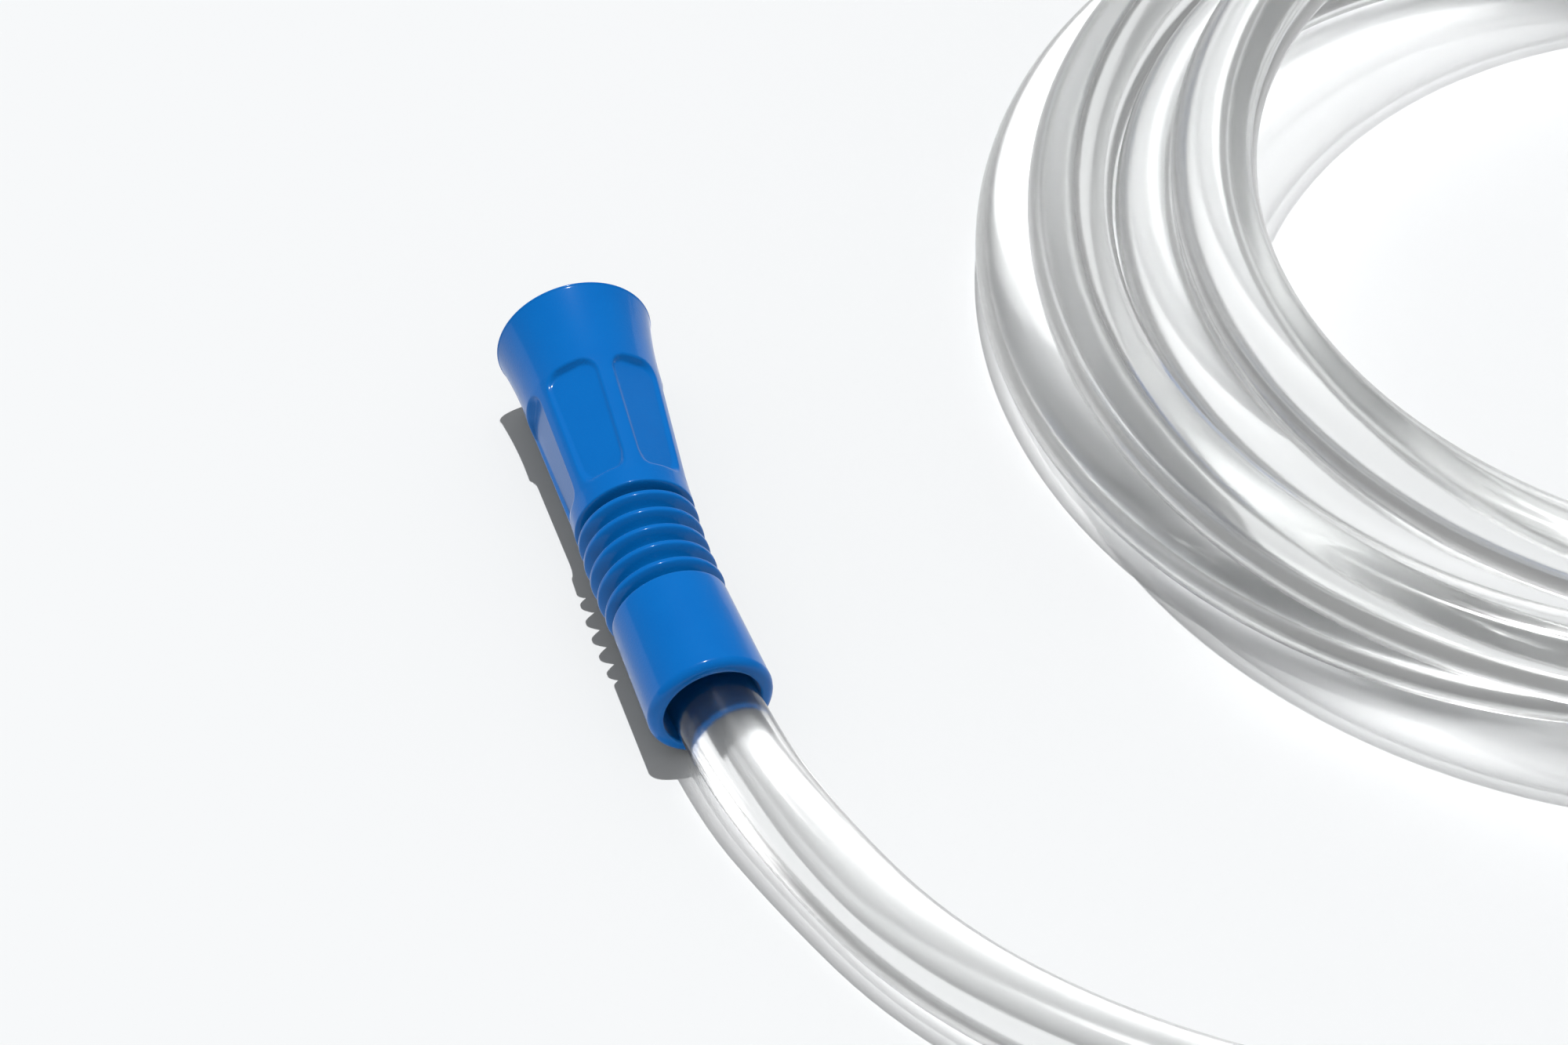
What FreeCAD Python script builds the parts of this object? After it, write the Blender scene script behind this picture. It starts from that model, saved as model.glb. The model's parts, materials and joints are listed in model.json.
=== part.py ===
"""Suction connecting tube: a soft moulded connector on each end of a coiled clear hose.

Millimetres, +Z up, the floor at z = 0.  The near connector lies along +Y with its mouth
towards +Y; its box on the floor is centred on the origin.
"""
import FreeCAD, Part
import math
import os

from FreeCAD import Placement, Rotation, Vector

# ---- hose ----
HOSE_OD = 10.4
HOSE_ID = 7.0

# ---- mouthpiece: funnel and finger grip ----
MOUTH_OD = 19.0
MOUTH_LIP = 1.2            # wall at the rim
FUNNEL_LENGTH = 11.0
FUNNEL_FOOT_OD = 16.7      # outside, where the finger panels begin
GRIP_LENGTH = 17.5
SHOULDER_OD = 14.5
SHOULDER_LENGTH = 3.0
SOCKET_BORE = 9.2          # straight land that grips a barb
SOCKET_LENGTH = 12.0
FLARE_DEPTH = 9.0          # tapered lead-in from the rim to the land
PANEL_COUNT = 6
PANEL_WIDTH = 6.2
PANEL_DEPTH = 0.9
PANEL_CORNER = 1.8
PANEL_ROLL = -24.0         # degrees about the axis, from straight up

# ---- ribbed neck ----
RIB_COUNT = 5
RIB_PITCH = 2.74
RIB_OD = 14.5
RIB_LAND = 0.8
GROOVE_DEPTH = 1.5
NECK_BORE = 6.6
NECK_GAP = 0.3             # slit between neck sections that turn against each other
NECK_BEND = 4.4            # degrees that the neck rests bent, in plan

# ---- skirt that holds the hose ----
SKIRT_LENGTH = 15.6
SKIRT_START_OD = 14.1
SKIRT_END_OD = 15.1
SKIRT_LIP_ROUND = 1.2
SEAT_DEPTH = 7.0           # cemented length of hose
SEAT_WEB = 1.2             # skirt behind the hose's end
HOSE_CLEARANCE = 0.65      # radial, around the hose at the skirt's mouth

# ---- where the far connector lies: its neck's middle, and its turn about +Z ----
FAR_NECK_AT = (204.5, 80.8)
FAR_TURN = 17.5

# ---- coil, as one ring of the bundle's outer shape ----
COIL_CENTRE = (133.5, 8.5)
COIL_OUTER_R = 84.0
COIL_HOLE_CENTRE = (132.0, 11.5)
COIL_HOLE_R = 47.4
COIL_HEIGHT = 31.4
COIL_ROUND = 6.0

# ---- hose routes: corners between straight runs, joined by tangent arcs; each corner is
# ---- its place on the floor and how far the hose is lifted there ----
ARC_SHARE = 0.45
LEAD_POINTS = [
    (7.5, -51.5, 0.0), (15.5, -70.0, 0.0), (29.0, -86.0, 0.0), (46.0, -99.0, 0.0),
    (66.0, -109.5, 0.0), (89.0, -116.0, 0.0), (114.0, -117.5, 0.0), (138.0, -113.0, 0.0),
    (160.0, -102.0, 0.0), (178.5, -86.5, 0.0), (192.5, -67.5, 0.0), (201.5, -43.5, 0.0),
    (203.0, -15.2, 0.0),
]
TAIL_POINTS = [
    (171.1, -68.2, 21.0), (189.7, -61.3, 19.5), (206.2, -49.4, 16.0), (219.1, -30.8, 11.5),
    (225.2, -9.7, 7.0), (225.4, 12.2, 3.0), (221.5, 33.5, 0.8),
]
LEAD_STRAIGHT = 4.0        # past the near skirt's mouth, before the hose bends
TAIL_STRAIGHT = 7.0        # the same at the far skirt

# ---- worked out from the sizes above; y runs along the connector from its neck's middle ----
AXIS = Vector(0, 1, 0)
NECK_HALF = RIB_COUNT * RIB_PITCH / 2
SHOULDER_Y = NECK_HALF + SHOULDER_LENGTH
FUNNEL_Y = SHOULDER_Y + GRIP_LENGTH
RIM_Y = FUNNEL_Y + FUNNEL_LENGTH
SKIRT_END_Y = -NECK_HALF - SKIRT_LENGTH
SEAT_Y = -NECK_HALF - SEAT_WEB
SOCKET_OUTER_Y = RIM_Y - FLARE_DEPTH
SOCKET_INNER_Y = SOCKET_OUTER_Y - SOCKET_LENGTH
TILT = math.degrees(math.atan((MOUTH_OD - SKIRT_END_OD) / 2 / (RIM_Y - SKIRT_END_Y)))


def turned(points):
    """Solid of revolution about the connector's axis from a closed (radius, y) outline."""
    wire = Part.makePolygon([Vector(r, y, 0) for r, y in points + points[:1]])
    return Part.Face(wire).revolve(Vector(0, 0, 0), AXIS, 360)


def bar(radius, y_low, y_high):
    """Round bar on the connector's axis."""
    return Part.makeCylinder(radius, y_high - y_low, Vector(0, y_low, 0), AXIS)


def cone(radius_low, radius_high, y_low, y_high):
    """Tapered bar on the connector's axis."""
    return Part.makeCone(radius_low, radius_high, y_high - y_low, Vector(0, y_low, 0), AXIS)


def mouth_outside():
    """Outer form: a flare drawn in by an arc, a tapered grip and a short shoulder."""
    rim = Vector(MOUTH_OD / 2, RIM_Y, 0)
    foot = Vector(FUNNEL_FOOT_OD / 2, FUNNEL_Y, 0)
    sag = (MOUTH_OD - FUNNEL_FOOT_OD) / 12
    middle = (rim + foot) * 0.5 - Vector(sag, 0, 0)
    shoulder = Vector(SHOULDER_OD / 2, SHOULDER_Y, 0)
    base = Vector(SHOULDER_OD / 2, NECK_HALF, 0)
    edges = [
        Part.LineSegment(Vector(0, RIM_Y, 0), rim).toShape(),
        Part.Arc(rim, middle, foot).toShape(),
        Part.LineSegment(foot, shoulder).toShape(),
        Part.LineSegment(shoulder, base).toShape(),
        Part.LineSegment(base, Vector(0, NECK_HALF, 0)).toShape(),
        Part.LineSegment(Vector(0, NECK_HALF, 0), Vector(0, RIM_Y, 0)).toShape(),
    ]
    return Part.Face(Part.Wire(edges)).revolve(Vector(0, 0, 0), AXIS, 360)


def panel_cutter():
    """Block with rounded corners whose inner face follows the grip's taper."""
    block = Part.makeBox(PANEL_WIDTH, GRIP_LENGTH, MOUTH_OD,
                         Vector(-PANEL_WIDTH / 2, SHOULDER_Y, 0))
    upright = [e for e in block.Edges if abs(e.Vertexes[0].Z - e.Vertexes[1].Z) > MOUTH_OD / 2]
    block = block.makeFillet(PANEL_CORNER, upright)
    lean = math.degrees(math.atan((FUNNEL_FOOT_OD - SHOULDER_OD) / 2 / GRIP_LENGTH))
    block.rotate(Vector(0, SHOULDER_Y, 0), Vector(1, 0, 0), lean)
    block.translate(Vector(0, 0, SHOULDER_OD / 2 - PANEL_DEPTH))
    return block


def mouthpiece():
    """Funnel and finger grip, bored for a barb and open to the neck."""
    body = mouth_outside()
    for index in range(PANEL_COUNT):
        cutter = panel_cutter()
        cutter.rotate(Vector(0, 0, 0), AXIS, PANEL_ROLL + index * 360 / PANEL_COUNT)
        body = body.cut(cutter)
    body = body.cut(bar(NECK_BORE / 2, NECK_HALF, SOCKET_INNER_Y))
    body = body.cut(bar(SOCKET_BORE / 2, SOCKET_INNER_Y, SOCKET_OUTER_Y))
    body = body.cut(cone(SOCKET_BORE / 2, MOUTH_OD / 2 - MOUTH_LIP, SOCKET_OUTER_Y, RIM_Y))
    return body


def neck_section(first, count, trim_low, trim_high):
    """A run of whole ribs, each drawn in to a groove at both its ends."""
    crest, bore = RIB_OD / 2, NECK_BORE / 2
    root = crest - GROOVE_DEPTH
    flank = (RIB_PITCH - RIB_LAND) / 2
    start = -NECK_HALF + first * RIB_PITCH
    outline = [(root, start)]
    for index in range(count):
        low = start + index * RIB_PITCH
        outline += [(crest, low + flank), (crest, low + flank + RIB_LAND), (root, low + RIB_PITCH)]
    end = start + count * RIB_PITCH
    section = turned(outline + [(bore, end), (bore, start)])
    return section.common(bar(RIB_OD, start + trim_low, end - trim_high))


def skirt():
    """Cuff with a cemented seat for the hose and a wider, rounded mouth."""
    body = cone(SKIRT_END_OD / 2, SKIRT_START_OD / 2, SKIRT_END_Y, -NECK_HALF)
    lip = [e for e in body.Edges if len(e.Vertexes) == 1 and abs(e.BoundBox.Center.y - SKIRT_END_Y) < 1e-6]
    wall = SKIRT_END_OD / 2 - HOSE_OD / 2 - HOSE_CLEARANCE
    body = body.makeFillet(min(SKIRT_LIP_ROUND, wall * 0.8), lip)
    body = body.cut(bar(NECK_BORE / 2, SEAT_Y, -NECK_HALF))
    body = body.cut(bar(HOSE_OD / 2, SEAT_Y - SEAT_DEPTH, SEAT_Y))
    return body.cut(bar(HOSE_OD / 2 + HOSE_CLEARANCE, SKIRT_END_Y, SEAT_Y - SEAT_DEPTH))


def connector():
    """The five sections of one connector, by name, in the connector's own frame."""
    front_ribs = RIB_COUNT // 2
    rear_ribs = RIB_COUNT - front_ribs - 1
    sections = {
        "mouthpiece": mouthpiece(),
        "neck_front": neck_section(RIB_COUNT - front_ribs, front_ribs, NECK_GAP / 2, 0),
        "neck_middle": neck_section(rear_ribs, 1, NECK_GAP / 2, NECK_GAP / 2),
        "neck_rear": neck_section(0, rear_ribs, 0, NECK_GAP / 2),
        "skirt": skirt(),
    }
    for name, bend in (("neck_middle", NECK_BEND / 2), ("neck_rear", NECK_BEND), ("skirt", NECK_BEND)):
        sections[name].rotate(Vector(0, 0, 0), Vector(0, 0, 1), bend)
    return sections


def lying_at(x, y, z, turn):
    """Placement of a connector that rests on its rim and its skirt."""
    tilt = Placement(Vector(0, 0, 0), Rotation(Vector(1, 0, 0), TILT))
    return Placement(Vector(x, y, z), Rotation(Vector(0, 0, 1), turn)).multiply(tilt)


def placed(shapes, placement):
    """Copies of named shapes, moved to a placement."""
    matrix = placement.toMatrix()
    return {name: shape.transformed(matrix) for name, shape in shapes.items()}


def near_placement(shapes):
    """Placement that centres the near connector's box on the origin, on the floor."""
    box = Part.Compound(list(placed(shapes, lying_at(0, 0, 0, 0)).values())).optimalBoundingBox(False)
    return lying_at(-box.Center.x, -box.Center.y, -box.ZMin, 0)


def on_axis(placement, y):
    """Point on the skirt's bent axis, y along it from the neck's middle."""
    bent = Rotation(Vector(0, 0, 1), NECK_BEND).multVec(Vector(0, y, 0))
    return placement.multVec(bent)


def route(corners):
    """Wire of straight runs joined by tangent arcs, with each arc's radius."""
    edges, radii, start = [], [], corners[0]
    for before, corner, after in zip(corners, corners[1:], corners[2:]):
        back, ahead = before - corner, after - corner
        reach = ARC_SHARE * min(back.Length, ahead.Length)
        half_turn = (math.pi - back.getAngle(ahead)) / 2
        radii.append(reach / math.tan(half_turn))
        back.normalize()
        ahead.normalize()
        first, last = corner + back * reach, corner + ahead * reach
        inward = back + ahead
        inward.normalize()
        centre = corner + inward * (radii[-1] / math.cos(half_turn))
        middle = centre - inward * radii[-1]
        edges.append(Part.LineSegment(start, first).toShape())
        edges.append(Part.Arc(first, middle, last).toShape())
        start = last
    edges.append(Part.LineSegment(start, corners[-1]).toShape())
    return Part.Wire(edges), radii


def resting(points):
    """Route corners with the hose on the floor, lifted where the route says so."""
    return [Vector(x, y, HOSE_OD / 2 + lift) for x, y, lift in points]


def rod(wire, diameter):
    """Round rod along a wire."""
    start = wire.Edges[0]
    tangent = start.tangentAt(start.FirstParameter)
    ring = Part.Wire(Part.makeCircle(diameter / 2, start.valueAt(start.FirstParameter), tangent))
    return wire.makePipeShell([ring], True, True)


def hose(name, corners):
    """Hollow hose along a route; its least bend and its length are printed."""
    wire, radii = route(corners)
    shape = rod(wire, HOSE_OD).cut(rod(wire, HOSE_ID))
    section = math.pi * (HOSE_OD ** 2 - HOSE_ID ** 2) / 4
    print(name, "length", round(wire.Length, 1), "volume/(section*length)",
          round(shape.Volume / section / wire.Length, 4))
    print(name, "radii", [round(r) for r in radii])
    return shape


def coil():
    """Ring of the bundle's outer shape, with a rounded section and its hole off centre."""
    outer = Part.makeCylinder(COIL_OUTER_R, COIL_HEIGHT, Vector(*COIL_CENTRE, 0))
    hole = Part.makeCylinder(COIL_HOLE_R, COIL_HEIGHT, Vector(*COIL_HOLE_CENTRE, 0))
    ring = outer.cut(hole)
    rims = [e for e in ring.Edges if len(e.Vertexes) == 1 and e.BoundBox.ZLength < 1e-6]
    return ring.makeFillet(COIL_ROUND, rims)


def main():
    """Build every node and write its STEP file."""
    os.makedirs("parts", exist_ok=True)
    sections = connector()
    near = near_placement(sections)
    far = lying_at(*FAR_NECK_AT, near.Base.z, FAR_TURN)
    nodes = {}
    for side, placement in (("near", near), ("far", far)):
        for name, shape in placed(sections, placement).items():
            nodes[side + "_" + name] = shape
        for label, point in (("front hinge", Vector(0, 1.5 * RIB_PITCH, 0)),
                             ("rear hinge", Rotation(Vector(0, 0, 1), NECK_BEND).multVec(
                                 Vector(0, -1.5 * RIB_PITCH, 0))),
                             ("socket middle", Vector(0, (SOCKET_INNER_Y + SOCKET_OUTER_Y) / 2, 0)),
                             ("rim", Vector(0, RIM_Y, 0))):
            print(side, label, [round(v, 3) for v in placement.multVec(point)])
        for label, way in (("along", AXIS), ("across", Vector(1, 0, 0)), ("up", Vector(0, 0, 1))):
            print(side, label, [round(v, 5) for v in placement.Rotation.multVec(way)])
    lead = [on_axis(near, SEAT_Y), on_axis(near, SKIRT_END_Y - LEAD_STRAIGHT)]
    tail = [on_axis(far, SKIRT_END_Y - TAIL_STRAIGHT), on_axis(far, SEAT_Y)]
    print("lead start", lead, "tail end", tail)
    nodes["hose_lead"] = hose("lead", lead + resting(LEAD_POINTS))
    nodes["hose_tail"] = hose("tail", resting(TAIL_POINTS) + tail)
    nodes["hose_coil"] = coil()
    for name, shape in nodes.items():
        shape.exportStep("parts/" + name + ".step")
        print(name, shape.isValid(), len(shape.Solids), round(shape.Volume, 1))


main()
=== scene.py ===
"""Suction connecting tube: a coiled clear hose with a soft blue moulded connector on each end."""
import json
import logging
import math
from dataclasses import dataclass, field
from enum import Enum

import bmesh
import bpy
import numpy as np
from mathutils import Matrix, Vector


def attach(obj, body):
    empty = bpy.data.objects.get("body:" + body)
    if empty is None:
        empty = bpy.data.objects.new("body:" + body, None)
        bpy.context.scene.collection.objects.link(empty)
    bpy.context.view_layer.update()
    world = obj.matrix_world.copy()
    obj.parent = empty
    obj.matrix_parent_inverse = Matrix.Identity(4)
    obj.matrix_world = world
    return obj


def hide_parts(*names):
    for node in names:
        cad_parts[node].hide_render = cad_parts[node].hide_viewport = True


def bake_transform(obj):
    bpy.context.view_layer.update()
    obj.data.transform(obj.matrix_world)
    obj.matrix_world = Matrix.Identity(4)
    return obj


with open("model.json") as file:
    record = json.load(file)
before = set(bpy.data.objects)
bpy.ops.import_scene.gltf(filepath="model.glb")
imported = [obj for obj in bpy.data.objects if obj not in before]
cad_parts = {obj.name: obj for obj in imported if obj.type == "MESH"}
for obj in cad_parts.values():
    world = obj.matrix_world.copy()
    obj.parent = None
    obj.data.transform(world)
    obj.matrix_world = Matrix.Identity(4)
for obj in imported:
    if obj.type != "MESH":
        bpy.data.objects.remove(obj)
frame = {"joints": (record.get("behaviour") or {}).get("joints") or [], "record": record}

LOG = logging.getLogger("suction_tube")
MM = 0.001
Point = tuple[float, float, float]


class Slot(Enum):
    """The record's material slots."""

    BLUE = "blue_soft_pvc"
    CLEAR = "clear_pvc"


class Side(Enum):
    """The two ends of the hose."""

    NEAR = "near"
    FAR = "far"


# ---------------------------------------------------------------- node helpers


class NodeTree:
    """Short hand for adding and linking nodes in a shader or geometry tree."""

    def __init__(self, tree: bpy.types.NodeTree) -> None:
        """Keep the tree that nodes are added to."""
        self.tree = tree

    def add(self, kind: str, values: dict | None = None, **settings: object) -> bpy.types.Node:
        """Add a node.

        Args:
            kind: the node's type name.
            values: input values or sockets to link from, by input name or index.
            settings: attributes to set on the node itself.

        Returns:
            The new node.
        """
        node = self.tree.nodes.new(kind)
        for name, value in settings.items():
            setattr(node, name, value)
        for key, value in (values or {}).items():
            if isinstance(value, bpy.types.NodeSocket):
                self.tree.links.new(value, node.inputs[key])
            else:
                node.inputs[key].default_value = value
        return node

    def math(self, operation: str, *values: object, clamp: bool = False) -> bpy.types.NodeSocket:
        """Add a Math node and return its output."""
        node = self.add("ShaderNodeMath", dict(enumerate(values)), operation=operation, use_clamp=clamp)
        return node.outputs[0]

    def link(self, source: bpy.types.NodeSocket, target: bpy.types.NodeSocket) -> None:
        """Link two sockets."""
        self.tree.links.new(source, target)


def new_group(name: str, kind: str, inputs: list[tuple], outputs: list[tuple]) -> tuple:
    """Make a node group with its sockets.

    Args:
        name: the group's name.
        kind: ShaderNodeTree or GeometryNodeTree.
        inputs: (name, socket type, default or None) for each input.
        outputs: (name, socket type) for each output.

    Returns:
        The group, a NodeTree on it, its Group Input and its Group Output node.
    """
    group = bpy.data.node_groups.new(name, kind)
    for label, socket_type, default in inputs:
        socket = group.interface.new_socket(label, in_out="INPUT", socket_type=socket_type)
        if default is not None:
            socket.default_value = default
    for label, socket_type in outputs:
        group.interface.new_socket(label, in_out="OUTPUT", socket_type=socket_type)
    nodes = NodeTree(group)
    return group, nodes, nodes.add("NodeGroupInput"), nodes.add("NodeGroupOutput")


# ---------------------------------------------------------------- shared effects


def grain_group() -> bpy.types.NodeTree:
    """Fine spark-eroded mould texture with a slow unevenness, as a height and a mask."""
    group, nodes, given, result = new_group(
        "Moulded grain", "ShaderNodeTree",
        [("Vector", "NodeSocketVector", None), ("Grain size", "NodeSocketFloat", 0.0002),
         ("Patch size", "NodeSocketFloat", 0.004)],
        [("Height", "NodeSocketFloat"), ("Patches", "NodeSocketFloat")])
    fine_scale = nodes.math("DIVIDE", 1.0, given.outputs["Grain size"])
    slow_scale = nodes.math("DIVIDE", 1.0, given.outputs["Patch size"])
    fine = nodes.add("ShaderNodeTexNoise", {"Vector": given.outputs["Vector"], "Scale": fine_scale,
                                            "Detail": 2.0, "Roughness": 0.6})
    slow = nodes.add("ShaderNodeTexNoise", {"Vector": given.outputs["Vector"], "Scale": slow_scale,
                                            "Detail": 3.0, "Roughness": 0.55})
    nodes.link(fine.outputs["Fac"], result.inputs["Height"])
    nodes.link(slow.outputs["Fac"], result.inputs["Patches"])
    return group


def streak_group() -> bpy.types.NodeTree:
    """Long die lines that run with an extrusion, from its around-and-along attribute."""
    group, nodes, given, result = new_group(
        "Extrusion streaks", "ShaderNodeTree",
        [("Around and along", "NodeSocketVector", None), ("Lines", "NodeSocketFloat", 6.0)],
        [("Lines", "NodeSocketFloat"), ("Waver", "NodeSocketFloat")])
    lines = nodes.add("ShaderNodeTexNoise", {"Vector": given.outputs["Around and along"],
                                             "Scale": given.outputs["Lines"], "Detail": 4.0,
                                             "Roughness": 0.65})
    waver = nodes.add("ShaderNodeTexNoise", {"Vector": given.outputs["Around and along"],
                                             "Scale": 1.3, "Detail": 1.0, "Roughness": 0.4})
    nodes.link(lines.outputs["Fac"], result.inputs["Lines"])
    nodes.link(waver.outputs["Fac"], result.inputs["Waver"])
    return group


# ---------------------------------------------------------------- finishes


@dataclass(frozen=True)
class BluePvc:
    """Satin blue soft PVC, straight from a lightly spark-eroded mould."""

    grain: bpy.types.NodeTree
    colour: Point = (0.0, 0.175, 0.6)
    deep_colour: Point = (0.0, 0.155, 0.56)
    bounce_colour: Point = (0.2, 0.22, 0.24)
    roughness: float = 0.42
    unevenness: float = 0.06
    grain_size: float = 0.28 * MM
    patch_size: float = 5.0 * MM
    grain_depth: float = 0.06 * MM

    def material(self) -> bpy.types.Material:
        """Build the material; the light it throws on the floor is kept nearly grey."""
        made = bpy.data.materials.new("blue_soft_pvc")
        made.use_nodes = True
        made.node_tree.nodes.clear()
        nodes = NodeTree(made.node_tree)
        place = nodes.add("ShaderNodeTexCoord").outputs["Object"]
        grain = nodes.add("ShaderNodeGroup", node_tree=self.grain)
        nodes.link(place, grain.inputs["Vector"])
        grain.inputs["Grain size"].default_value = self.grain_size
        grain.inputs["Patch size"].default_value = self.patch_size
        colour = nodes.add("ShaderNodeMix", {0: grain.outputs["Patches"], 6: (*self.deep_colour, 1),
                                             7: (*self.colour, 1)}, data_type="RGBA")
        rough = nodes.add("ShaderNodeMapRange", {"Value": grain.outputs["Patches"],
                                                 "To Min": self.roughness - self.unevenness,
                                                 "To Max": self.roughness + self.unevenness})
        bump = nodes.add("ShaderNodeBump", {"Height": grain.outputs["Height"], "Strength": 0.45,
                                            "Distance": self.grain_depth})
        bounced = nodes.add("ShaderNodeLightPath").outputs["Is Diffuse Ray"]
        seen = nodes.add("ShaderNodeMix", {0: bounced, 6: colour.outputs[2], 7: (*self.bounce_colour, 1)},
                         data_type="RGBA")
        surface = nodes.add("ShaderNodeBsdfPrincipled", {
            "Base Color": seen.outputs[2], "Roughness": rough.outputs[0], "Normal": bump.outputs[0],
            "IOR": 1.4, "Specular IOR Level": 0.05,
            "Coat Weight": 0.6, "Coat Roughness": 0.13, "Coat IOR": 1.35,
            "Sheen Weight": 0.4, "Sheen Roughness": 0.22, "Sheen Tint": (0.86, 0.84, 0.92, 1)})
        output = nodes.add("ShaderNodeOutputMaterial")
        nodes.link(surface.outputs[0], output.inputs["Surface"])
        return made


@dataclass(frozen=True)
class ClearPvc:
    """Clear soft PVC hose: glassy, faintly streaked along its length by the die."""

    streaks: bpy.types.NodeTree
    tint: Point = (0.99, 0.992, 0.99)
    ior: float = 1.42

    def material(self) -> bpy.types.Material:
        """Build the material; lamps pass it dimmed, most of all where it is met edge on."""
        made = bpy.data.materials.new("clear_pvc")
        made.use_nodes = True
        made.node_tree.nodes.clear()
        nodes = NodeTree(made.node_tree)
        around = nodes.add("ShaderNodeAttribute", attribute_name="around_along").outputs["Vector"]
        streaks = nodes.add("ShaderNodeGroup", {"Around and along": around, "Lines": 5.0},
                            node_tree=self.streaks)
        rough = nodes.add("ShaderNodeMapRange", {"Value": streaks.outputs["Lines"], "From Min": 0.35,
                                                 "From Max": 0.7, "To Min": 0.09, "To Max": 0.19})
        bump = nodes.add("ShaderNodeBump", {"Height": streaks.outputs["Lines"], "Strength": 0.3,
                                            "Distance": 0.00006})
        surface = nodes.add("ShaderNodeBsdfPrincipled", {
            "Base Color": (*self.tint, 1), "Roughness": rough.outputs[0], "Normal": bump.outputs[0],
            "IOR": self.ior, "Transmission Weight": 1.0})
        facing = nodes.add("ShaderNodeLayerWeight", {"Blend": 0.5}).outputs["Facing"]
        ramp = nodes.add("ShaderNodeMapRange", {"Value": facing, "From Min": 0.1, "From Max": 0.95,
                                                "To Min": 0.7, "To Max": 0.38}).outputs[0]
        faint = nodes.add("ShaderNodeMapRange", {"Value": streaks.outputs["Lines"], "From Min": 0.3,
                                                 "From Max": 0.7, "To Min": 0.9, "To Max": 1.03}).outputs[0]
        passed = nodes.math("MULTIPLY", ramp, faint, clamp=True)
        passing = nodes.add("ShaderNodeBsdfTransparent", {"Color": passed})
        lamp = nodes.add("ShaderNodeLightPath").outputs["Is Shadow Ray"]
        mixed = nodes.add("ShaderNodeMixShader", {0: lamp, 1: surface.outputs[0], 2: passing.outputs[0]})
        output = nodes.add("ShaderNodeOutputMaterial")
        nodes.link(mixed.outputs[0], output.inputs["Surface"])
        return made


@dataclass(frozen=True)
class StudioFloor:
    """Matt near-white paper."""

    colour: Point = (0.9, 0.912, 0.92)

    def material(self) -> bpy.types.Material:
        """Build the material."""
        made = bpy.data.materials.new("studio_floor")
        made.use_nodes = True
        surface = made.node_tree.nodes["Principled BSDF"]
        surface.inputs["Base Color"].default_value = (*self.colour, 1)
        surface.inputs["Roughness"].default_value = 0.9
        surface.inputs["Specular IOR Level"].default_value = 0.1
        return made


# ---------------------------------------------------------------- meshes


def ring_shell(name: str, rings: np.ndarray) -> bpy.types.Object:
    """Closed shell from rings that run outside one way and inside back again.

    Args:
        name: the object's name.
        rings: points as (ring, side, xyz); the last ring joins the first.

    Returns:
        The new object, with its faces outwards and smooth.
    """
    count, sides = rings.shape[:2]
    ring = np.arange(count)[:, None]
    side = np.arange(sides)[None, :]
    ahead, beside = (ring + 1) % count, (side + 1) % sides
    faces = np.stack([ring * sides + side, ring * sides + beside, ahead * sides + beside,
                      ahead * sides + side], axis=-1).reshape(-1, 4)
    mesh = bpy.data.meshes.new(name)
    mesh.from_pydata(rings.reshape(-1, 3).tolist(), [], faces.tolist())
    return finished(name, mesh)


def finished(name: str, mesh: bpy.types.Mesh) -> bpy.types.Object:
    """Link a mesh as a smooth object whose normals point outwards."""
    work = bmesh.new()
    work.from_mesh(mesh)
    bmesh.ops.recalc_face_normals(work, faces=work.faces)
    work.to_mesh(mesh)
    work.free()
    mesh.polygons.foreach_set("use_smooth", [True] * len(mesh.polygons))
    made = bpy.data.objects.new(name, mesh)
    bpy.context.scene.collection.objects.link(made)
    return made


def smoothstep(value: np.ndarray) -> np.ndarray:
    """Ease from 0 to 1."""
    t = np.clip(value, 0.0, 1.0)
    return t * t * (3 - 2 * t)


# ---------------------------------------------------------------- connector


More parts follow.
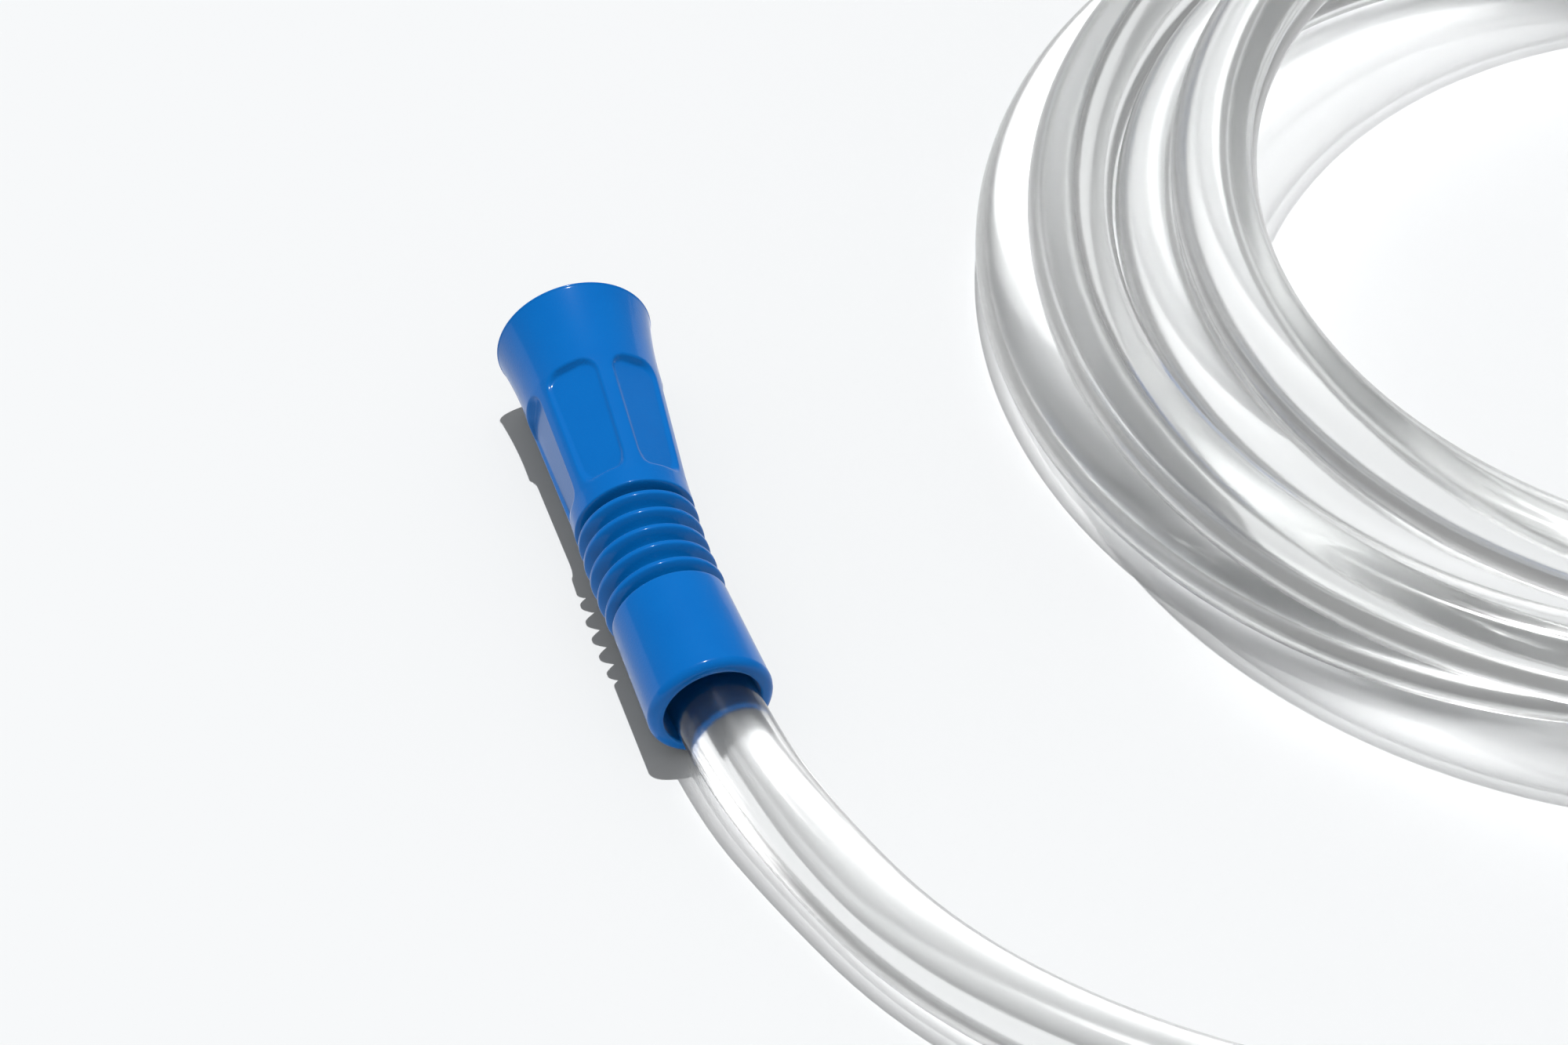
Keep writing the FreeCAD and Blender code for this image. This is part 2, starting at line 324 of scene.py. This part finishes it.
@dataclass
class Connector:
    """One moulded connector: mouthpiece, ribbed neck and skirt.

    Its own frame has +Y from the neck's middle to the mouth, and +Z up.
    """

    side: Side
    finish: bpy.types.Material
    mouth_radius: float = 9.5 * MM
    mouth_lip: float = 1.2 * MM
    mouth_lip_round: float = 0.3 * MM
    funnel_length: float = 11.0 * MM
    funnel_foot_radius: float = 8.35 * MM
    grip_length: float = 17.5 * MM
    shoulder_radius: float = 7.25 * MM
    shoulder_length: float = 3.0 * MM
    socket_radius: float = 4.6 * MM
    socket_length: float = 12.0 * MM
    flare_depth: float = 9.0 * MM
    panel_count: int = 6
    panel_depth: float = 0.95 * MM
    panel_roll: float = math.radians(-24.0)
    panel_corner_at_mouth: float = 2.3 * MM
    panel_corner_at_neck: float = 1.5 * MM
    panel_edge: float = 0.5 * MM
    panel_run_out: float = 0.9 * MM
    ridge_width: float = 1.5 * MM
    rib_count: int = 5
    rib_pitch: float = 2.74 * MM
    rib_radius: float = 7.25 * MM
    rib_land: float = 0.45 * MM
    groove_depth: float = 1.5 * MM
    neck_bore_radius: float = 3.3 * MM
    neck_bend: float = math.radians(4.4)
    skirt_length: float = 15.6 * MM
    skirt_start_radius: float = 7.05 * MM
    skirt_end_radius: float = 7.55 * MM
    skirt_lip_round: float = 1.2 * MM
    skirt_mouth_round: float = 0.25 * MM
    skirt_mouth_radius: float = 5.85 * MM
    seat_radius: float = 5.26 * MM
    seat_depth: float = 7.0 * MM
    seat_web: float = 1.2 * MM
    sides: int = 300
    pieces: list[bpy.types.Object] = field(default_factory=list)

    @property
    def neck_half(self) -> float:
        """Half the ribbed neck's length."""
        return self.rib_count * self.rib_pitch / 2

    @property
    def shoulder_y(self) -> float:
        """Where the finger panels end."""
        return self.neck_half + self.shoulder_length

    @property
    def funnel_y(self) -> float:
        """Where the finger panels begin."""
        return self.shoulder_y + self.grip_length

    @property
    def rim_y(self) -> float:
        """The mouth's rim."""
        return self.funnel_y + self.funnel_length

    @property
    def skirt_end_y(self) -> float:
        """The skirt's open end."""
        return -self.neck_half - self.skirt_length

    def placement(self) -> Matrix:
        """The connector's frame in the row frame, from its hinges and its socket's axis."""
        joints = {joint["name"]: joint for joint in frame["joints"]}
        mounts = {mount["name"]: mount for mount in frame["record"]["mounts"]}
        nod = joints[self.side.value + "_neck_nod"]
        along = Vector(mounts[self.side.value + "_socket"]["axis"]).normalized()
        across = Vector(nod["axis"]).normalized()
        up = across.cross(along)
        origin = Vector(nod["pos_m"]) - along * 1.5 * self.rib_pitch
        turn = Matrix((across, along, up)).transposed().to_4x4()
        return Matrix.Translation(origin) @ turn

    def settle(self, made: bpy.types.Object) -> bpy.types.Object:
        """Bend a piece at the neck, put it in the row frame and dress it."""
        mesh = made.data
        points = np.empty(len(mesh.vertices) * 3)
        mesh.vertices.foreach_get("co", points)
        points = points.reshape(-1, 3)
        bend = self.neck_bend * smoothstep((self.neck_half - points[:, 1]) / (2 * self.neck_half))
        x = points[:, 0] * np.cos(bend) - points[:, 1] * np.sin(bend)
        y = points[:, 0] * np.sin(bend) + points[:, 1] * np.cos(bend)
        mesh.vertices.foreach_set("co", np.stack([x, y, points[:, 2]], axis=1).ravel())
        mesh.transform(self.placement())
        mesh.update()
        mesh.materials.clear()
        mesh.materials.append(self.finish)
        self.pieces.append(made)
        return made

    def rings(self, profile: list[tuple[float, float]]) -> np.ndarray:
        """Rings round the axis from (y, radius) stations.

        Args:
            profile: the stations in order.

        Returns:
            Points as (ring, side, xyz).
        """
        angles = np.linspace(0, 2 * math.pi, self.sides, endpoint=False)
        out = []
        for y, radius in profile:
            along = np.full(self.sides, y)
            out.append(np.stack([radius * np.sin(angles), along, radius * np.cos(angles)], axis=1))
        return np.array(out)

    def outside_radius(self, y: float) -> float:
        """Radius of the mouthpiece's outer form, before the finger panels."""
        if y >= self.funnel_y:
            t = (y - self.funnel_y) / self.funnel_length
            sag = 0.25 * MM
            span = self.mouth_radius - self.funnel_foot_radius
            return self.funnel_foot_radius + span * t - 4 * sag * t * (1 - t)
        if y >= self.shoulder_y:
            t = (y - self.shoulder_y) / self.grip_length
            return self.shoulder_radius + (self.funnel_foot_radius - self.shoulder_radius) * t
        return self.shoulder_radius

    def with_panels(self, angles: np.ndarray, y: float, radius: float) -> np.ndarray:
        """Radius with the six flat finger panels let into it."""
        pitch = 2 * math.pi / self.panel_count
        phi = (angles - self.panel_roll + pitch / 2) % pitch - pitch / 2
        half_width = radius * pitch / 2 - self.ridge_width / 2
        half_length = self.grip_length / 2
        v = y - (self.shoulder_y + half_length)
        corner = self.panel_corner_at_mouth if v > 0 else self.panel_corner_at_neck
        across = np.abs(phi) * radius - half_width + corner
        along = abs(v) - half_length + corner
        outside = np.hypot(np.maximum(across, 0), max(along, 0))
        inside = np.minimum(np.maximum(across, along), 0)
        distance = outside + inside - corner
        edge = np.full_like(distance, self.panel_edge)
        if v < 0:
            edge += self.panel_run_out * smoothstep(np.array((-v - half_length + 3 * MM) / (3 * MM)))
        depth = smoothstep(-distance / edge)
        floor = (radius - self.panel_depth) / np.cos(phi)
        return radius + (np.minimum(floor, radius) - radius) * depth

    def mouthpiece(self) -> bpy.types.Object:
        """Flared mouth and finger grip, bored for a barb."""
        lip_round = self.mouth_lip_round
        step = 0.22 * MM
        groove_round = 0.45 * MM
        root = self.rib_radius - self.groove_depth
        profile = [(self.neck_half, self.neck_bore_radius), (self.neck_half, root)]
        flank = (self.rib_pitch - self.rib_land) / 2
        for t in np.linspace(0.15, 1.0, 8):
            rise = math.sin(t * math.pi / 2) ** 1.3
            profile.append((self.neck_half + t * flank * 0.55, root + (self.shoulder_radius - root) * rise))
        start = profile[-1][0] + groove_round * 0.3
        for y in np.arange(start, self.rim_y - lip_round, step):
            profile.append((y, self.outside_radius(y)))
        for t in np.linspace(0, math.pi / 2, 6):
            profile.append((self.rim_y - lip_round * (1 - math.sin(t)),
                            self.mouth_radius - lip_round * (1 - math.cos(t))))
        inner = self.mouth_radius - self.mouth_lip
        for t in np.linspace(0, math.pi / 2, 6):
            profile.append((self.rim_y - lip_round * (1 - math.cos(t)),
                            inner + lip_round * (1 - math.sin(t))))
        outer_y = self.rim_y - self.flare_depth
        inner_y = self.rim_y - self.flare_depth - self.socket_length
        for t in np.linspace(0.04, 1, 14):
            profile.append((self.rim_y - self.flare_depth * t, inner + (self.socket_radius - inner) * t))
        for y in np.linspace(outer_y - 0.4 * MM, inner_y + 0.2 * MM, 8):
            profile.append((y, self.socket_radius))
        profile += [(inner_y, self.socket_radius), (inner_y, self.neck_bore_radius)]
        for y in np.linspace(inner_y - 0.2 * MM, self.neck_half + 0.2 * MM, 8):
            profile.append((y, self.neck_bore_radius))
        outer_count = next(i for i, (y, _) in enumerate(profile) if y > self.funnel_y + 0.5 * MM)
        first = len([1 for y, _ in profile[:outer_count] if y < self.shoulder_y - 0.5 * MM])
        angles = np.linspace(0, 2 * math.pi, self.sides, endpoint=False)
        rings = self.rings(profile)
        for index in range(first, outer_count):
            y, radius = profile[index]
            r = self.with_panels(angles, y, radius)
            rings[index, :, 0], rings[index, :, 2] = r * np.sin(angles), r * np.cos(angles)
        made = ring_shell(self.side.value + "_mouthpiece_skin", rings)
        return self.settle(made)

    def skirt(self) -> bpy.types.Object:
        """Cuff with a rounded mouth, a clearance round the hose and a cemented seat."""
        bore_end = self.skirt_end_y + (self.skirt_length - self.seat_web - self.seat_depth)
        seat_end = -self.neck_half - self.seat_web
        root = self.rib_radius - self.groove_depth
        profile = [(-self.neck_half, self.neck_bore_radius), (-self.neck_half, root)]
        for t in np.linspace(0.15, 1.0, 8):
            rise = math.sin(t * math.pi / 2)
            profile.append((-self.neck_half - t * 0.55 * MM, root + (self.skirt_start_radius - root) * rise))
        slope = (self.skirt_end_radius - self.skirt_start_radius) / self.skirt_length
        for y in np.linspace(-self.neck_half - 0.8 * MM, self.skirt_end_y + self.skirt_lip_round, 30):
            profile.append((y, self.skirt_start_radius + slope * (-self.neck_half - y)))
        for t in np.linspace(0, math.pi / 2, 10)[1:]:
            profile.append((self.skirt_end_y + self.skirt_lip_round * (1 - math.sin(t)),
                            self.skirt_end_radius - self.skirt_lip_round * (1 - math.cos(t))))
        inner_round = self.skirt_mouth_round
        for t in np.linspace(0, math.pi / 2, 6):
            profile.append((self.skirt_end_y + inner_round * (1 - math.cos(t)),
                            self.skirt_mouth_radius + inner_round * (1 - math.sin(t))))
        for y in np.linspace(self.skirt_end_y + 0.5 * MM, bore_end - 0.2 * MM, 14):
            profile.append((y, self.skirt_mouth_radius))
        profile += [(bore_end, self.skirt_mouth_radius), (bore_end, self.seat_radius)]
        for y in np.linspace(bore_end + 0.3 * MM, seat_end - 0.3 * MM, 10):
            profile.append((y, self.seat_radius))
        profile += [(seat_end, self.seat_radius), (seat_end, self.neck_bore_radius)]
        made = ring_shell(self.side.value + "_skirt_skin", self.rings(profile))
        return self.settle(made)

    def neck_section(self, label: str, first: int, count: int, tree: bpy.types.NodeTree) -> bpy.types.Object:
        """A run of ribs from the ribbed-neck tree.

        Args:
            label: the section's name.
            first: the number of ribs between the skirt and this section.
            count: how many ribs it has.
            tree: the Geometry Nodes tree.

        Returns:
            The settled piece.
        """
        values = {"Start": -self.neck_half + first * self.rib_pitch, "Ribs": count, "Pitch": self.rib_pitch,
                  "Crest radius": self.rib_radius, "Groove depth": self.groove_depth,
                  "Land": self.rib_land, "Bore radius": self.neck_bore_radius, "Material": self.finish}
        made = from_tree(self.side.value + "_" + label + "_skin", tree, values)
        return self.settle(made)

    def build(self, tree: bpy.types.NodeTree) -> None:
        """Build every section, ride it on its body and let it stand for its CAD node."""
        side = self.side.value
        skirt, mouth = self.skirt(), self.mouthpiece()
        rear_ribs = self.rib_count // 2
        rear = self.neck_section("neck_rear", 0, rear_ribs, tree)
        middle = self.neck_section("neck_middle", rear_ribs, 1, tree)
        front = self.neck_section("neck_front", rear_ribs + 1, rear_ribs, tree)
        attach(skirt, "root")
        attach(mouth, side + "_mouth")
        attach(middle, side + "_neck")
        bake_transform(rear)
        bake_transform(front)
        for piece, node in ((skirt, "skirt"), (mouth, "mouthpiece"), (rear, "neck_rear"),
                            (middle, "neck_middle"), (front, "neck_front")):
            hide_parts(side + "_" + node)
            LOG.info("%s: %d faces", piece.name, len(piece.data.polygons))


# ---------------------------------------------------------------- geometry trees


def from_tree(name: str, tree: bpy.types.NodeTree, values: dict, base: bpy.types.Object | None = None
              ) -> bpy.types.Object:
    """Run a Geometry Nodes tree once and keep its result as a plain mesh object.

    Args:
        name: the new object's name.
        tree: the tree.
        values: its inputs by name.
        base: object whose geometry the tree takes in; an empty mesh if None.

    Returns:
        The new object.
    """
    carrier = base or bpy.data.objects.new(name + "_carrier", bpy.data.meshes.new(name + "_carrier"))
    if base is None:
        bpy.context.scene.collection.objects.link(carrier)
    modifier = carrier.modifiers.new("shape", "NODES")
    modifier.node_group = tree
    for item in tree.interface.items_tree:
        if item.item_type == "SOCKET" and item.in_out == "INPUT" and item.name in values:
            modifier[item.identifier] = values[item.name]
    graph = bpy.context.evaluated_depsgraph_get()
    mesh = bpy.data.meshes.new_from_object(carrier.evaluated_get(graph))
    carrier.modifiers.remove(modifier)
    bpy.data.objects.remove(carrier)
    mesh.name = name
    return finished(name, mesh)


def ribbed_neck_tree(sides: int = 192, per_rib: int = 30) -> bpy.types.NodeTree:
    """Closed corrugated tube: V grooves between narrow rounded crests, bored through.

    Args:
        sides: points round each ring.
        per_rib: rings along each rib.

    Returns:
        The tree. Its inputs are the sizes, its output a closed mesh along +Y.
    """
    tree, nodes, given, result = new_group(
        "Ribbed neck", "GeometryNodeTree",
        [("Geometry", "NodeSocketGeometry", None), ("Start", "NodeSocketFloat", 0.0),
         ("Ribs", "NodeSocketInt", 2), ("Pitch", "NodeSocketFloat", 0.003),
         ("Crest radius", "NodeSocketFloat", 0.007), ("Groove depth", "NodeSocketFloat", 0.0015),
         ("Land", "NodeSocketFloat", 0.001), ("Bore radius", "NodeSocketFloat", 0.003),
         ("Material", "NodeSocketMaterial", None)],
        [("Geometry", "NodeSocketGeometry")])
    ask = given.outputs
    rings = nodes.math("ADD", nodes.math("MULTIPLY", ask["Ribs"], float(per_rib)), 1.0)
    grid = nodes.add("GeometryNodeMeshGrid", {"Size X": 1.0, "Size Y": 1.0, "Vertices X": sides + 1})
    total = nodes.math("ADD", nodes.math("MULTIPLY", rings, 2.0), 1.0)
    nodes.link(total, grid.inputs["Vertices Y"])
    index = nodes.add("GeometryNodeInputIndex").outputs[0]
    column = nodes.math("FLOOR", nodes.math("DIVIDE", nodes.math("ADD", index, 0.5), total))
    row = nodes.math("SUBTRACT", index, nodes.math("MULTIPLY", column, total))
    angle = nodes.math("MULTIPLY", column, 2 * math.pi / sides)
    last = nodes.math("SUBTRACT", rings, 1.0)
    inside = nodes.math("MULTIPLY", nodes.math("GREATER_THAN", row, nodes.math("ADD", last, 0.5)),
                        nodes.math("LESS_THAN", row, nodes.math("SUBTRACT", total, 1.5)))
    back = nodes.math("SUBTRACT", nodes.math("SUBTRACT", total, 2.0), row)
    there = nodes.math("MAXIMUM", nodes.math("MINIMUM", row, back), 0.0)
    wrap = nodes.math("GREATER_THAN", row, nodes.math("SUBTRACT", total, 1.5))
    ribs_along = nodes.math("MULTIPLY", nodes.math("DIVIDE", there, float(per_rib)),
                            nodes.math("SUBTRACT", 1.0, wrap))
    along = nodes.math("ADD", ask["Start"], nodes.math("MULTIPLY", ribs_along, ask["Pitch"]))
    off_crest = nodes.math("MULTIPLY", ask["Pitch"], nodes.math(
        "ABSOLUTE", nodes.math("SUBTRACT", nodes.math("FRACT", nodes.math("ADD", ribs_along, 1e-5)), 0.5)))
    half_land = nodes.math("MULTIPLY", ask["Land"], 0.5)
    flank = nodes.math("SUBTRACT", nodes.math("MULTIPLY", ask["Pitch"], 0.5), half_land)
    fall = nodes.math("DIVIDE", nodes.math("SUBTRACT", off_crest, half_land), flank, clamp=True)
    eased = nodes.add("ShaderNodeMapRange", {"Value": fall}, interpolation_type="SMOOTHSTEP").outputs[0]
    shape = nodes.math("ADD", nodes.math("MULTIPLY", fall, 0.6), nodes.math("MULTIPLY", eased, 0.4))
    outer = nodes.math("SUBTRACT", ask["Crest radius"], nodes.math("MULTIPLY", ask["Groove depth"], shape))
    drop = nodes.math("MULTIPLY", nodes.math("SUBTRACT", outer, ask["Bore radius"]), inside)
    radius = nodes.math("SUBTRACT", outer, drop)
    place = nodes.add("ShaderNodeCombineXYZ", {
        0: nodes.math("MULTIPLY", radius, nodes.math("SINE", angle)), 1: along,
        2: nodes.math("MULTIPLY", radius, nodes.math("COSINE", angle))})
    moved = nodes.add("GeometryNodeSetPosition", {"Geometry": grid.outputs["Mesh"],
                                                  "Position": place.outputs[0]})
    merged = nodes.add("GeometryNodeMergeByDistance", {"Geometry": moved.outputs[0], "Distance": 1e-6})
    real = nodes.add("GeometryNodeRealizeInstances", {"Geometry": merged.outputs[0]})
    dressed = nodes.add("GeometryNodeSetMaterial", {"Geometry": real.outputs[0],
                                                    "Material": ask["Material"]})
    nodes.link(dressed.outputs[0], result.inputs["Geometry"])
    return tree


def hose_tree(sides: int = 40) -> bpy.types.NodeTree:
    """Hose wall along a curve: an outer skin and a bore, with a streak attribute.

    Args:
        sides: points round the outer skin.

    Returns:
        The tree. It takes in a curve and gives two open skins.
    """
    tree, nodes, given, result = new_group(
        "Hose wall", "GeometryNodeTree",
        [("Geometry", "NodeSocketGeometry", None), ("Outer radius", "NodeSocketFloat", 0.005),
         ("Bore radius", "NodeSocketFloat", 0.0035), ("Step", "NodeSocketFloat", 0.0025),
         ("Material", "NodeSocketMaterial", None)],
        [("Geometry", "NodeSocketGeometry")])
    ask = given.outputs
    spaced = nodes.add("GeometryNodeResampleCurve", {"Curve": ask["Geometry"], "Length": ask["Step"]},
                       mode="LENGTH")
    parameter = nodes.add("GeometryNodeSplineParameter")
    along = nodes.add("GeometryNodeCaptureAttribute", domain="POINT")
    along.capture_items.new("FLOAT", "along")
    nodes.link(spaced.outputs[0], along.inputs["Geometry"])
    nodes.link(parameter.outputs["Length"], along.inputs["along"])
    skins = []
    for radius in ("Outer radius", "Bore radius"):
        circle = nodes.add("GeometryNodeCurvePrimitiveCircle", {"Resolution": sides, "Radius": ask[radius]})
        around = nodes.add("GeometryNodeCaptureAttribute", domain="POINT")
        around.capture_items.new("FLOAT", "around")
        nodes.link(circle.outputs[0], around.inputs["Geometry"])
        nodes.link(parameter.outputs["Factor"], around.inputs["around"])
        skin = nodes.add("GeometryNodeCurveToMesh", {"Curve": along.outputs["Geometry"],
                                                     "Profile Curve": around.outputs["Geometry"]})
        angle = nodes.math("MULTIPLY", around.outputs["around"], 2 * math.pi)
        streak = nodes.add("ShaderNodeCombineXYZ", {
            0: nodes.math("COSINE", angle), 1: nodes.math("SINE", angle),
            2: nodes.math("MULTIPLY", along.outputs["along"], 4.0)})
        stored = nodes.add("GeometryNodeStoreNamedAttribute", {
            "Geometry": skin.outputs[0], "Name": "around_along", "Value": streak.outputs[0]},
            data_type="FLOAT_VECTOR", domain="POINT")
        if radius == "Bore radius":
            stored = nodes.add("GeometryNodeFlipFaces", {"Mesh": stored.outputs[0]})
        skins.append(stored)
    joined = nodes.add("GeometryNodeJoinGeometry")
    for skin in skins:
        nodes.link(skin.outputs[0], joined.inputs[0])
    real = nodes.add("GeometryNodeRealizeInstances", {"Geometry": joined.outputs[0]})
    dressed = nodes.add("GeometryNodeSetMaterial", {"Geometry": real.outputs[0],
                                                    "Material": ask["Material"]})
    nodes.link(dressed.outputs[0], result.inputs["Geometry"])
    return tree


# ---------------------------------------------------------------- hose


@dataclass
class Hose:
    """The clear hose: out of the near skirt, across the floor, five turns, and to the far skirt."""

    finish: bpy.types.Material
    outer_radius: float = 5.2 * MM
    bore_radius: float = 3.5 * MM
    exit_point: Point = (1.72, -30.24, 7.55)
    start: tuple[Point, ...] = ((0.618, -15.889, 8.008), (2.029, -34.225, 7.42))
    lead: tuple[tuple[float, float], ...] = (
        (7.5, -51.5), (15.5, -70.0), (29.0, -86.0), (46.0, -99.0), (66.0, -109.5), (89.0, -116.0),
        (114.0, -117.5), (138.0, -113.0), (160.0, -102.0), (178.5, -86.5), (192.5, -67.5),
        (201.5, -43.5), (203.0, -15.2))
    tail: tuple[Point, ...] = (
        (171.1, -68.2, 26.2), (189.7, -61.3, 24.7), (206.2, -49.4, 21.2), (219.1, -30.8, 16.7),
        (225.2, -9.7, 12.2), (225.4, 12.2, 8.2), (221.5, 33.5, 6.0))
    finish_points: tuple[Point, ...] = ((215.48, 53.49, 7.325), (207.501, 73.335, 8.008))
    coil_centre: tuple[float, float] = (126.0, 16.7)
    coil_radius: float = 71.2
    strand_pitch: float = 10.7
    layer_shift: tuple[float, float] = (8.0, -7.4)
    layer_growth: float = 3.75
    layer_rise: float = 10.5
    turns: float = 4.76
    points_per_turn: int = 16

    def coil_points(self) -> list[Point]:
        """Control points of the coil's turns: two strands to a layer, each layer leaning on the last.

        The hose is wound outer strand first, then inner; it rises and takes the next layer's
        inner strand, then its outer; it rises again to a last strand and leaves outwards.

        Returns:
            The points, in millimetres, anticlockwise from the coil's +X side.
        """
        pull = 8 / (6 + 2 * math.cos(2 * math.pi / self.points_per_turn))
        points = []
        for index in range(int(self.turns * self.points_per_turn) + 1):
            turn = index / self.points_per_turn
            angle = 2 * math.pi * turn
            layer = self.ramp(turn, 2, 27, 62) + self.ramp(turn, 3, 322, 367)
            level = self.ramp(turn, 1, 355, 387) + self.ramp(turn, 3, 290, 322)
            inward = (self.ramp(turn, 0, 27, 64) + self.ramp(turn, 1, 27, 64) + self.ramp(turn, 3, 322, 367)
                      - self.ramp(turn, 2, 322, 357) - 1.6 * self.ramp(turn, 4, 250, 350) - 1)
            radius = (self.coil_radius + self.layer_growth * layer - self.strand_pitch * inward) * pull
            points.append((self.coil_centre[0] + self.layer_shift[0] * layer + radius * math.cos(angle),
                           self.coil_centre[1] + self.layer_shift[1] * layer + radius * math.sin(angle),
                           self.outer_radius / MM + self.layer_rise * level))
        return points

    @staticmethod
    def ramp(turn: float, whole: int, begin: float, end: float) -> float:
        """0 before and 1 after a stretch given in degrees past a whole number of turns."""
        return float(smoothstep(np.array((360 * (turn - whole) - begin) / (end - begin))))

    def route(self) -> bpy.types.Object:
        """The hose's centreline: one open NURBS spline."""
        floor = self.outer_radius / MM
        points = [*self.start, *((x, y, floor) for x, y in self.lead), *self.coil_points(),
                  *self.tail, *self.finish_points]
        curve = bpy.data.curves.new("hose_route", "CURVE")
        curve.dimensions = "3D"
        curve.resolution_u = 12
        spline = curve.splines.new("NURBS")
        spline.points.add(len(points) - 1)
        for point, (x, y, z) in zip(spline.points, points):
            point.co = (x * MM, y * MM, z * MM, 1)
        spline.order_u = 3
        spline.use_endpoint_u = True
        made = bpy.data.objects.new("hose_route", curve)
        bpy.context.scene.collection.objects.link(made)
        return made

    def close_ends(self, made: bpy.types.Object) -> None:
        """Close the wall at both cut ends of the hose."""
        work = bmesh.new()
        work.from_mesh(made.data)
        edges = [e for e in work.edges if e.is_boundary]
        reach = 12 * MM
        for place in (self.start[0], self.finish_points[-1]):
            near = [e for e in edges if (e.verts[0].co - Vector(place) * MM).length < reach]
            bmesh.ops.bridge_loops(work, edges=near)
        bmesh.ops.recalc_face_normals(work, faces=work.faces)
        work.to_mesh(made.data)
        work.free()

    def build(self, tree: bpy.types.NodeTree, far_pieces: list[bpy.types.Object]) -> bpy.types.Object:
        """Args:
            tree: the hose-wall tree.
            far_pieces: the far connector's pieces, which are on the hose's end; not used.

        Returns:
            The hose.
        """
        route = self.route()
        graph = bpy.context.evaluated_depsgraph_get()
        line = bpy.data.meshes.new_from_object(route.evaluated_get(graph))
        made = from_tree("hose", tree, {"Outer radius": self.outer_radius, "Bore radius": self.bore_radius,
                                        "Step": 2.5 * MM, "Material": self.finish}, base=route)
        self.close_ends(made)
        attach(made, "root")
        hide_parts("hose_lead", "hose_coil", "hose_tail")
        return made


# ---------------------------------------------------------------- studio


@dataclass(frozen=True)
class Studio:
    """Pale floor, one hard key from nearly overhead, an even fill, and the camera."""

    floor_size: float = 6.0
    key_strength: float = 2.5
    key_spread: float = math.radians(0.8)
    key_travel: Point = (-0.045, -0.19, -1.0)
    fill_strength: float = 0.26
    azimuth: float = math.radians(-14.9)
    elevation: float = math.radians(46.0)
    target: Point = (18.9 * MM, 3.05 * MM, 0.0)
    distance: float = 0.6522
    lens: float = 126.0

    def build(self) -> None:
        """Make the floor, lights, camera and picture settings."""
        self.floor()
        self.lights()
        self.camera()
        scene = bpy.context.scene
        scene.view_settings.view_transform = "Standard"
        scene.cycles.max_bounces = 28
        scene.cycles.transmission_bounces = 28
        scene.cycles.transparent_max_bounces = 32
        scene.cycles.caustics_reflective = False
        scene.cycles.caustics_refractive = True
        scene.cycles.sample_clamp_indirect = 4.0

    def floor(self) -> None:
        """A wide flat floor at the object's base."""
        half = self.floor_size / 2
        mesh = bpy.data.meshes.new("floor")
        mesh.from_pydata([(-half, -half, 0), (half, -half, 0), (half, half, 0), (-half, half, 0)], [],
                         [(0, 1, 2, 3)])
        mesh.materials.append(StudioFloor().material())
        made = bpy.data.objects.new("floor", mesh)
        bpy.context.scene.collection.objects.link(made)

    def lights(self) -> None:
        """A small far key lamp and an even world."""
        lamp = bpy.data.lights.new("key", "SUN")
        lamp.energy = self.key_strength
        lamp.angle = self.key_spread
        made = bpy.data.objects.new("key", lamp)
        made.rotation_mode = "QUATERNION"
        made.rotation_quaternion = Vector(self.key_travel).to_track_quat("-Z", "Y")
        bpy.context.scene.collection.objects.link(made)
        world = bpy.data.worlds.new("studio")
        world.use_nodes = True
        back = world.node_tree.nodes["Background"]
        back.inputs["Color"].default_value = (0.985, 0.99, 1.0, 1)
        back.inputs["Strength"].default_value = self.fill_strength
        bpy.context.scene.world = world

    def camera(self) -> None:
        """The main view, from the near connector's hose end and above."""
        data = bpy.data.cameras.new("camera")
        data.lens = self.lens
        data.clip_start, data.clip_end = 0.01, 20
        back = Vector((math.sin(self.azimuth) * math.cos(self.elevation),
                       -math.cos(self.azimuth) * math.cos(self.elevation), math.sin(self.elevation)))
        made = bpy.data.objects.new("camera", data)
        made.location = Vector(self.target) + back * self.distance
        made.rotation_mode = "QUATERNION"
        made.rotation_quaternion = (-back).to_track_quat("-Z", "Y")
        bpy.context.scene.collection.objects.link(made)
        bpy.context.scene.camera = made


def main() -> None:
    """Build the connectors, the hose and the studio, in that order."""
    logging.basicConfig(level=logging.INFO, format="%(message)s")
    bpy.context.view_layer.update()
    blue = BluePvc(grain_group()).material()
    clear = ClearPvc(streak_group()).material()
    rib_tree, wall_tree = ribbed_neck_tree(), hose_tree()
    connectors = {side: Connector(side, blue) for side in Side}
    for connector in connectors.values():
        connector.build(rib_tree)
    Hose(clear).build(wall_tree, connectors[Side.FAR].pieces)
    Studio().build()


if __name__ == "__main__":
    main()
